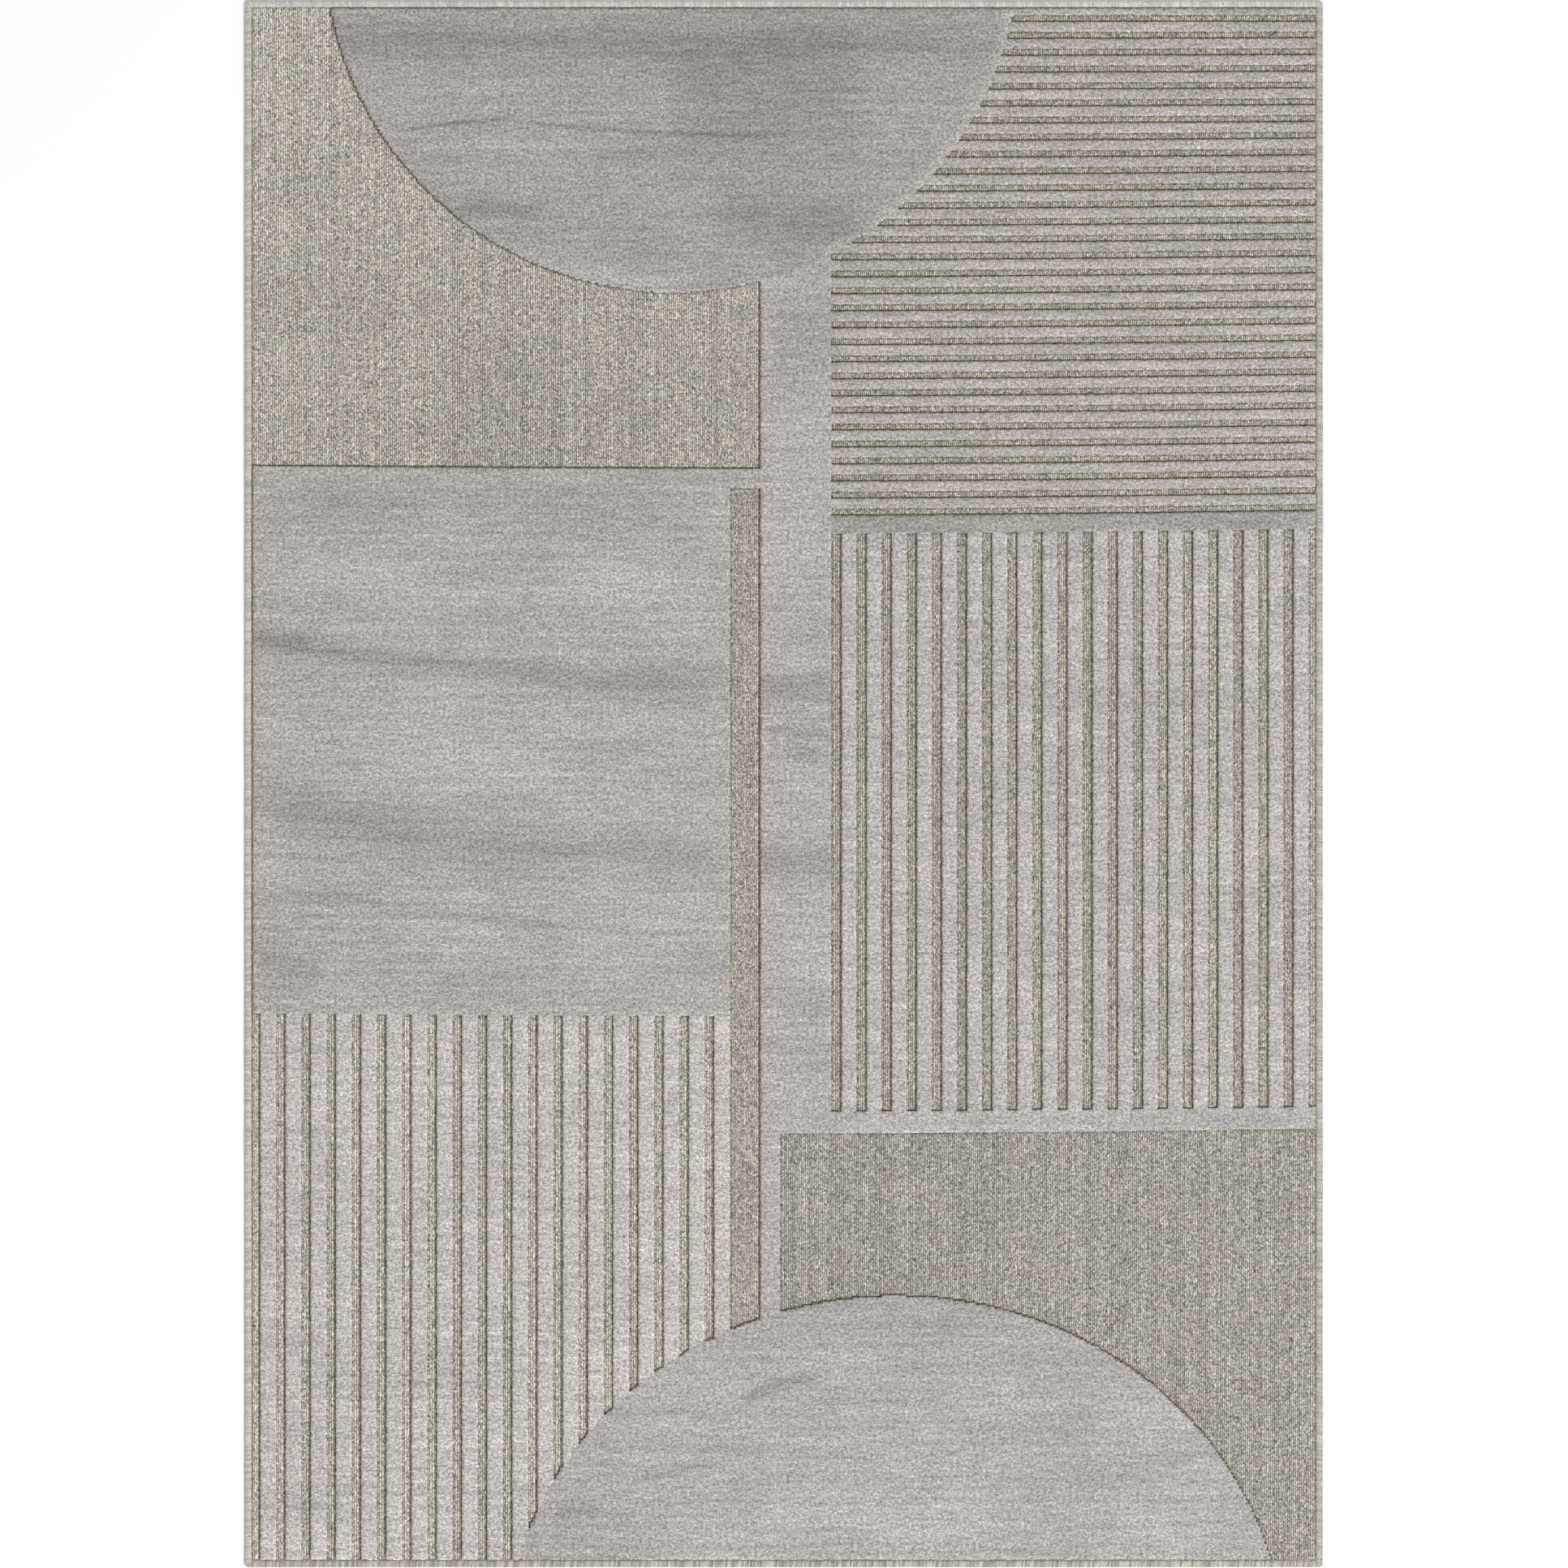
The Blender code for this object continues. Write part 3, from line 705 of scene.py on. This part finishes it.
# ---- Pile ----------------------------------------------------------------------------------------
# The pile yarn of each area, made darker or lighter as painted shade for the way that area's pile lies
# to the light.
PILE_COLOURS_WITH_PAINTED_SHADE = {
    "pile_top_half_disc": (0.342, 0.326, 0.316),
    "pile_left_square": (0.377, 0.358, 0.344),
    "pile_centre_band": (0.390, 0.368, 0.357),
    "pile_upper_cross_band": (0.321, 0.306, 0.293),
    "pile_lower_cross_band": (0.392, 0.374, 0.363),
    "pile_bottom_half_disc": (0.366, 0.348, 0.339),
    "pile_horizontal_rib_comb": (0.390, 0.368, 0.348),
    "pile_right_rib": (0.418, 0.398, 0.388),
    "pile_left_rib": (0.452, 0.431, 0.417),
}


def pile_levels(pile):
    """Corner grids of the pile's tips, waist and feet, with their painted shades."""
    x, y = np.meshgrid(XS, YS, indexing="ij")
    y = bowed(x, y)
    around = at_corners(pile)
    rim = 1.0 * ((around > 0) & (around < 4))
    # Which way the pile's edge faces at a rim corner: away from the pile.
    out_x = np.zeros(CORNERS)
    out_y = np.zeros(CORNERS)
    for right, high, window in around_corners():
        out_x[window] += pile * (right - 0.5)
        out_y[window] += pile * (high - 0.5)
    # Edges facing left or up are turned from the key light.
    shaded_side = np.clip(-out_x, 0, 1) + np.clip(out_y, 0, 1) > 0
    shift_x, shift_y = rough(CORNERS, TIP_SHIFT[0]), rough(CORNERS, TIP_SHIFT[1])
    height = PILE_TOP + rough(CORNERS, PILE_GRAIN)
    low, high = RIM_DROP_SHARES
    drop = RIM_DROP * rim * (low + (high - low) * RANDOM.random(CORNERS))
    held = RIM_INSET * rim
    tips = np.stack([x + shift_x - held * out_x, y + shift_y - held * out_y, height - drop], axis=-1)
    flare = rim * (RIM_FLARE[0] + rough(CORNERS, RIM_FLARE[1]))
    waist_z = PILE_WAIST + rough(CORNERS, WAIST_SHIFT)
    waist = np.stack([x + out_x * flare, y + out_y * flare, waist_z], axis=-1)
    inset = FIT_GAP / 2
    feet = np.stack([x - out_x * inset, y - out_y * inset, np.full(CORNERS, PILE_FOOT)], axis=-1)
    # Painted light: a highlight on the tips of lit rims, tan on the shaded ones, and painted shade down
    # the walls, darkest on the shaded sides.
    tips_shade = rim * np.where(shaded_side, SHADED_TIP, -LIT_RIM)
    low, high = WAIST_SHADE
    waist_shade = low + (high - low) * RANDOM.random(CORNERS)
    waist_shade = np.where(shaded_side, waist_shade, LIT_WAIST_SHADE)
    feet_shade = np.where(shaded_side, FOOT_SHADE, LIT_FOOT_SHADE)
    return (tips, waist, feet), (tips_shade, waist_shade, feet_shade)


def make_pile(areas):
    pile = np.logical_or.reduce(list(areas.values()))
    levels, shades = pile_levels(pile)
    materials = {name: pile_material(f"{name}_yarn", colour) for name, colour in PILE_COLOURS_WITH_PAINTED_SHADE.items()}
    pieces = []
    for name, cells in areas.items():
        family = name if name in materials else name.rsplit("_", 1)[0]
        mesh = closed_cells(name, cells, levels, shades, same=pile)
        mark_cloth(mesh, PILE_MARKS)
        piece = new_piece(f"{name}_tufts", mesh, materials[family])
        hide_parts(name)
        pieces.append(piece)
    return pile, pieces


# ---- Flat weave ----------------------------------------------------------------------------------
GROUND_COLOURS = {
    "flat_weave_horizontal_grooves": (0.446, 0.421, 0.366),
    "flat_weave_right_grooves": (0.430, 0.404, 0.356),
    "flat_weave_left_grooves": (0.520, 0.489, 0.436),
    "flat_weave_lower_right": (0.390, 0.368, 0.334),
    "flat_weave_narrow_strip": (0.424, 0.390, 0.356),
    "flat_weave_upper_left": (0.494, 0.464, 0.420),
    "flat_weave_margin": (0.440, 0.410, 0.370),
}
SHEET_COLOUR = (0.40, 0.37, 0.33)


def ground_levels(pile):
    """Corner grids of the flat weave's hollows and underside, its domed floats, and their painted
    shades.
    """
    x, y = np.meshgrid(XS, YS, indexing="ij")
    y = bowed(x, y)
    # Pile to the right of a cell, or below it, stands between that cell and the light, so its shadow is
    # painted on that cell; floats at the ends and lit sides of ribs get painted dots of shade.
    level_line = shifted(pile, 0, 1)
    dark = (shifted(pile, -1, 0) | level_line) & ~pile
    ends = shifted(pile, 0, -1) & ~pile & ~dark
    ticks = shifted(pile, 1, 0) & ~pile & ~dark & ~ends
    shade = np.zeros(CELLS)
    least = np.where(level_line, LEVEL_LINE_SHADE, LINE_SHADE)[dark]
    shade[dark] = least + (1 - least) * RANDOM.random(int(dark.sum()))
    shade[ends] = (RANDOM.random(int(ends.sum())) > 1 - END_SHARE) * END_SHADE
    shade[ticks] = (RANDOM.random(int(ticks.sum())) > 1 - TICK_SHARE) * TICK_SHADE
    # Painted shade in the hollows between shadowed floats and the pile.
    gap_shade = 0.9 * ((at_corners(dark) > 0) & (at_corners(pile) > 0))
    gap_shade *= 0.5 + 0.5 * RANDOM.random(CORNERS)
    gaps = np.stack([x, y, GROUND_GAP + rough(CORNERS, GAP_SHIFT)], axis=-1)
    under = np.stack([x, y, np.full(CORNERS, GROUND_LOW)], axis=-1)
    low, high = FLOAT_SHARES
    rise = FLOAT_RISE * (low + (high - low) * RANDOM.random(CELLS)) * np.where(dark, SHADOWED_RISE, 1.0)
    middle_x = CELL_X + rough(CELLS, FLOAT_SHIFT[0])
    middle_y = bowed(CELL_X, CELL_Y) + rough(CELLS, FLOAT_SHIFT[1])
    domes = np.stack([middle_x, middle_y, GROUND_GAP + rise], axis=-1)
    return (gaps, under), (gap_shade, np.zeros(CORNERS)), (domes, shade)


def make_ground(pile, tufts):
    levels, shades, domes = ground_levels(pile)
    pieces = []
    for name, cells in ground_cells(pile).items():
        mesh = closed_cells(name, cells, levels, shades, domes, ~pile)
        mark_cloth(mesh, WEAVE_MARKS)
        material = flat_weave_material(f"{name}_yarn", GROUND_COLOURS[name])
        pieces.append(new_piece(name, mesh, material))
    low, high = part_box("flat_weave_face")
    points, faces = plate(low[0], low[1], high[0], high[1], low[2], GROUND_LOW - SHEET_GAP, SHEET_STEP)
    weave = np.column_stack([points[:, 0] / REED, points[:, 1] / ROW, np.zeros(len(points))])
    sheet = mesh_of("flat_weave_sheet", points, faces, weave)
    mark_cloth(sheet, ())
    material = flat_weave_material("flat_weave_sheet_yarn", SHEET_COLOUR)
    base = new_piece("flat_weave_sheet", sheet, material)
    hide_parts("flat_weave_face")
    return base, pieces


def plate(left, bottom, right, top, low, high, step):
    """Points and faces of a closed flat plate with a grid on both faces."""
    across = np.linspace(left, right, max(2, round((right - left) / step)))
    along = np.linspace(bottom, top, max(2, round((top - bottom) / step)))
    x, y = np.meshgrid(across, along, indexing="ij")
    count = x.size
    flat = np.column_stack([x.ravel(), y.ravel()])
    points = np.concatenate([np.column_stack([flat, np.full(count, z)]) for z in (high, low)])
    index = np.arange(count).reshape(x.shape)
    corners = [index[:-1, :-1], index[1:, :-1], index[1:, 1:], index[:-1, 1:]]
    quads = np.stack(corners, axis=-1).reshape(-1, 4)
    ring = np.concatenate([index[:-1, 0], index[-1, :-1], index[:0:-1, -1], index[0, :0:-1]])
    after = np.roll(ring, -1)
    walls = np.column_stack([after, ring, ring + count, after + count])
    return points, [quads, quads[:, ::-1] + count, walls]


# ---- Binding and seam ----------------------------------------------------------------------------
def binding_profile():
    """(inward distance, height, share of the wrap's swell), anticlockwise from the inner top lip."""
    lip = 0.0051
    return [
        (BINDING_WIDTH, lip, 0.0),
        (BINDING_WIDTH, BINDING_TOP - 0.0009, 0.5),
        (BINDING_WIDTH - 0.0009, BINDING_TOP - 0.0002, 1.0),
        (BINDING_WIDTH * 0.55, BINDING_TOP, 1.0),
        (0.0020, BINDING_TOP - 0.0003, 1.0),
        (0.0007, BINDING_TOP - 0.0013, 1.0),
        (0.0002, BINDING_TOP / 2, 1.0),
        (0.0008, 0.0010, 0.6),
        (0.0022, 0.0001, 0.0),
        (BINDING_WIDTH, 0.0, 0.0),
        (BINDING_WIDTH, BACK_COAT_TOP, 0.0),
        (BINDING_WEB, BACK_COAT_TOP, 0.0),
        (BINDING_WEB, lip, 0.0),
    ]


def tube_mesh(name, points, weave, facing):
    """A closed tube from rings of points, one ring a row. A facing below 0 turns the faces round."""
    index = np.arange(points.shape[0] * points.shape[1]).reshape(points.shape[:2])
    after = np.roll(index, -1, axis=1)
    quads = np.stack([index[:-1], after[:-1], after[1:], index[1:]], axis=-1).reshape(-1, 4)
    caps = [index[0][::-1][None, :], index[-1][None, :]]
    if facing < 0:
        quads = quads[:, ::-1]
        caps = [cap[:, ::-1] for cap in caps]
    return mesh_of(name, points.reshape(-1, 3), [quads, *caps], weave.reshape(-1, 3))


def binding_mesh(name, length, place, facing):
    """One side's overlock wraps, mitred at both ends, round the rug's rounded corners."""
    half = length / 2
    straight = half - MITRE_ZONE
    wraps = round(length / WRAP)
    stations = np.arange(wraps * 2 + 1) / 2
    run = (stations / wraps - 0.5) * length
    crest = 1.0 * (np.arange(len(stations)) % 2)
    profile = binding_profile()
    points = np.empty((len(run), len(profile), 3))
    weave = np.empty((len(run), len(profile), 3))
    past = np.clip((np.abs(run) - straight) / MITRE_ZONE, 0, 1)
    swell_by_wrap = WRAP_SWELL * (0.75 + 0.5 * RANDOM.random(wraps + 1))[(stations + 0.01).astype(int)]
    # The outer edge follows the corner's arc as far as the mitre, at half a right angle.
    outer_end = half - CORNER_RADIUS * (1 - math.cos(math.pi / 4))
    outer = np.where(past > 0, straight + past * (outer_end - straight), np.abs(run))
    turn = np.arcsin(np.clip((outer - half + CORNER_RADIUS) / CORNER_RADIUS, 0, 1))
    drawn = CORNER_RADIUS * (1 - np.cos(turn))
    knots = np.linspace(-half, half, WANDER_KNOTS)
    wander = np.interp(run, knots, rough(WANDER_KNOTS, WRAP_WANDER)) * (1 - past)
    for k, (inward, height, swell) in enumerate(profile):
        outer_share = max(0.0, 1 - inward / BINDING_WIDTH)
        depth = inward + drawn * outer_share
        last = half - (inward + drawn.max() * outer_share) - MITRE_GAP
        along = np.where(past > 0, straight + past * (last - straight), np.abs(run))
        along = np.sign(run) * along + WRAP_SLANT * (inward - BINDING_WIDTH / 2) * (1 - past)
        out = swell * swell_by_wrap * crest * (1 - past * 0.6)
        on_top = 0.0015 < inward < BINDING_WIDTH - 0.0001 and height > 0.003
        lift = out if on_top else out * 0.4
        push = out if inward < 0.0015 else 0.0
        x, y, z = place(along, depth + wander * (swell > 0) - push, height + lift)
        points[:, k] = np.column_stack([x, y, z])
        # The inner lip, at the gap against the field, is painted with shade.
        shade = LIP_SHADE if k < 2 else 0.0  # the profile's first two points are its inner lip
        weave[:, k] = np.column_stack([stations, np.full(len(run), k), np.full(len(run), shade)])
    return tube_mesh(name, points, weave, facing)


def seam_mesh(name, length, place, facing):
    """Needle thread along a binding's inner edge: short stitches that dip at each hole."""
    stitches = round(length / STITCH)
    stations = np.arange(stitches * 3 + 1) / 3
    run = (stations / stitches - 0.5) * length
    arch = np.sin(np.pi * (stations % 1.0))
    ring = [math.radians(angle) for angle in (0, 60, 120, 180, 240, 300)]
    points = np.empty((len(run), len(ring), 3))
    weave = np.empty((len(run), len(ring), 3))
    middle = BINDING_WIDTH + FIT_GAP + SEAM_THREAD_WIDTH / 2
    level, width, depth = (low + more * arch for low, more in (STITCH_LEVEL, STITCH_WIDTH, STITCH_DEPTH))
    for k, angle in enumerate(ring):
        x, y, z = place(run, middle + width * math.cos(angle), level + depth * math.sin(angle))
        points[:, k] = np.column_stack([x, y, z])
        weave[:, k] = np.column_stack([stations, np.full(len(run), k), np.zeros(len(run))])
    return tube_mesh(name, points, weave, facing)


# Yarn of each side: colour, and how much its wraps differ in tone. It is one yarn, painted lighter at
# the top and left and darker at the right and bottom as light and shade.
BINDING_YARNS_WITH_PAINTED_SHADE = {
    "left": ((0.495, 0.470, 0.43), 0.20),
    "right": ((0.41, 0.388, 0.357), 0.20),
    "bottom": ((0.385, 0.362, 0.333), 0.36),
    "top": ((0.55, 0.53, 0.49), 0.16),
}
SEAM_YARN = ((0.40, 0.34, 0.275), 0.45)


def make_edges():
    half_x = RUG_WIDTH / 2
    half_y = RUG_LENGTH / 2
    sides = {
        "left": (RUG_LENGTH, lambda along, depth, z: (depth - half_x, along, z), 1),
        "right": (RUG_LENGTH, lambda along, depth, z: (half_x - depth, along, z), -1),
        "bottom": (RUG_WIDTH, lambda along, depth, z: (along, depth - half_y, z), -1),
        "top": (RUG_WIDTH, lambda along, depth, z: (along, half_y - depth, z), 1),
    }
    thread = yarn_material("seam_thread_yarn", *SEAM_YARN)
    pieces = []
    for side, (length, place, facing) in sides.items():
        yarn = yarn_material(f"binding_{side}_yarn", *BINDING_YARNS_WITH_PAINTED_SHADE[side])
        mesh = binding_mesh(f"binding_{side}", length, place, facing)
        wraps = new_piece(f"binding_{side}_wraps", mesh, yarn)
        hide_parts(f"binding_{side}")
        short = 2 * (BINDING_WIDTH + FIT_GAP)
        if length == RUG_LENGTH:  # the long sides' threads end short of the cut ends' threads
            short += 2 * (SEAM_THREAD_WIDTH + FIT_GAP)
        seam = seam_mesh(f"seam_{side}", length - short, place, facing)
        stitches = new_piece(f"seam_{side}_stitches", seam, thread)
        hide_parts(f"seam_thread_{side}")
        pieces += [wraps, stitches]
    return pieces


# ---- Stage ---------------------------------------------------------------------------------------
VIEW_SPAN = 2.328  # what the camera sees across at the floor
CAMERA_LENS = 200.0  # millimetres
SENSOR = 36.0
KEY_PLACE = (3.5, -3.0, 8.1)
KEY_SIZE = 2.6
KEY_POWER = 620.0
KEY_COLOUR = (1.0, 0.985, 0.965)
SKY_STRENGTH = 0.60
FLOOR_REACH = 30.0
FLOOR_COLOUR = (0.93, 0.93, 0.93)


def make_camera():
    data = bpy.data.cameras.new("camera")
    data.lens = CAMERA_LENS
    data.sensor_width = SENSOR
    data.clip_end = 100.0
    camera = bpy.data.objects.new("camera", data)
    camera.location = (0.0, 0.0, VIEW_SPAN * CAMERA_LENS / SENSOR)
    bpy.context.scene.collection.objects.link(camera)
    bpy.context.scene.camera = camera


def make_light():
    data = bpy.data.lights.new("key", "AREA")
    data.shape = "DISK"
    data.size = KEY_SIZE
    data.energy = KEY_POWER
    data.color = KEY_COLOUR
    key = bpy.data.objects.new("key", data)
    key.location = KEY_PLACE
    key.rotation_euler = (-Vector(KEY_PLACE)).to_track_quat("-Z", "Y").to_euler()
    bpy.context.scene.collection.objects.link(key)
    world = bpy.data.worlds.new("studio")
    world.use_nodes = True
    sky = world.node_tree.nodes["Background"]
    sky.inputs["Color"].default_value = (1.0, 1.0, 1.0, 1.0)
    sky.inputs["Strength"].default_value = SKY_STRENGTH
    bpy.context.scene.world = world
    bpy.context.scene.view_settings.view_transform = "Standard"


def make_floor():
    shader = Shader("pale_floor", 0.9)
    broad = shader.spread(shader.noise((0.8, 0.8, 0.8)), 0.99, 1.0)
    material = shader.finish(shader.scaled(rgba(FLOOR_COLOUR), broad))
    corners = ((-1, -1), (1, -1), (1, 1), (-1, 1))
    points = [(FLOOR_REACH * right, FLOOR_REACH * up, -FLOOR_DROP) for right, up in corners]
    mesh = mesh_of("floor", points, [np.array([[0, 1, 2, 3]])])
    mesh.materials.append(material)
    floor = bpy.data.objects.new("floor", mesh)
    bpy.context.scene.collection.objects.link(floor)
    floor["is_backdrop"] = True


# ---- Rug -----------------------------------------------------------------------------------------
def finish_node(name, material):
    node = bpy.data.objects[name]
    node.data.materials.clear()
    node.data.materials.append(material)


make_camera()
make_light()
make_floor()
pile, tufts = make_pile(pile_cells())
base, weave_pieces = make_ground(pile, tufts)
edges = make_edges()
for made in [*tufts, base, *weave_pieces, *edges]:
    check_closed(made)
finish_node("latex_back_coat", latex_material())
finish_node("backing_weave", jute_material())

boxes = [[list(corner) for corner in box] for box in (CAD_BOX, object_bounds())]
